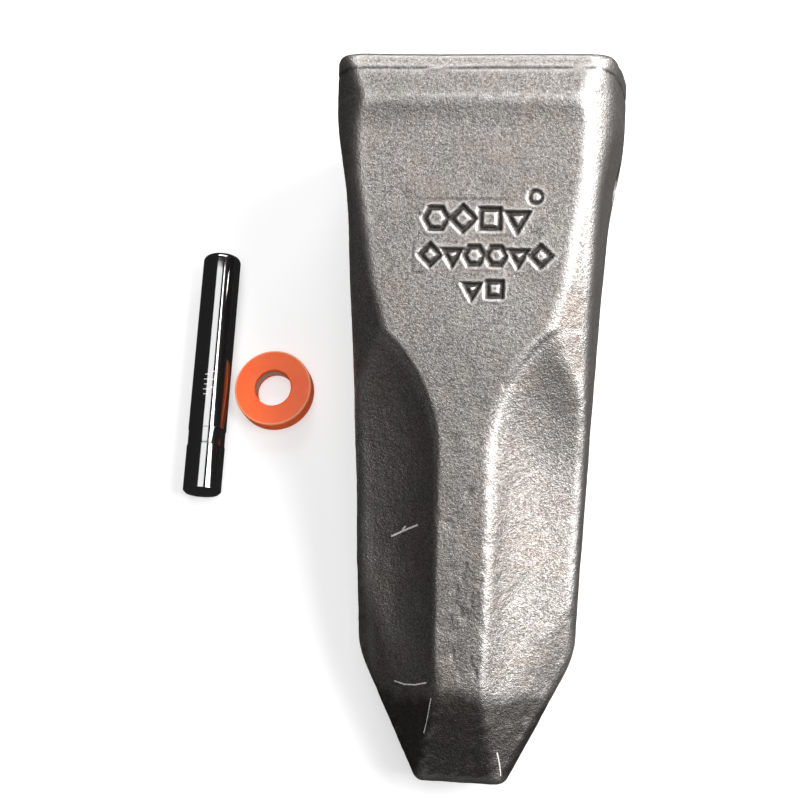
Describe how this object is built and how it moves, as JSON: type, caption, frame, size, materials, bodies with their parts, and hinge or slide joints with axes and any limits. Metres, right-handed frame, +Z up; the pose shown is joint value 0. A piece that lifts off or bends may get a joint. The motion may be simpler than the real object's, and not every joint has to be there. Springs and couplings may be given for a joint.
{
  "type": "excavator bucket tooth",
  "caption": "Forged rock-type bucket tooth with scooped flanks and a nose pocket, laid out with its side pin and its ring retainer.",
  "frame": {"origin": "middle of the box around the three loose parts, on the bench they lie on", "axes": "+Y towards the tooth's open rear end, along its length; +X along the pin bore, to the tooth's right; +Z up from the bench"},
  "size_m": [0.2308, 0.357, 0.1472],
  "materials": {
    "tooth_steel": "shot-blasted low-alloy steel forging",
    "pin_steel": "glossy black coating",
    "retainer_urethane": "satin orange polyurethane",
    "spring_steel": "oiled spring steel"
  },
  "bodies": {
    "tooth": {"tooth_body": "tooth_steel"},
    "pin": {"retaining_pin": "pin_steel"},
    "retainer": {"retainer_ring": "retainer_urethane", "retainer_spring": "spring_steel"}
  },
  "joints": [
    {"name": "pin_lift", "type": "slide", "parent": "tooth", "child": "pin", "axis": [0, 0, 1], "range_m": [0, 0.2]},
    {"name": "retainer_lift", "type": "slide", "parent": "tooth", "child": "retainer", "axis": [0, 0, 1], "range_m": [0, 0.2]}
  ]
}
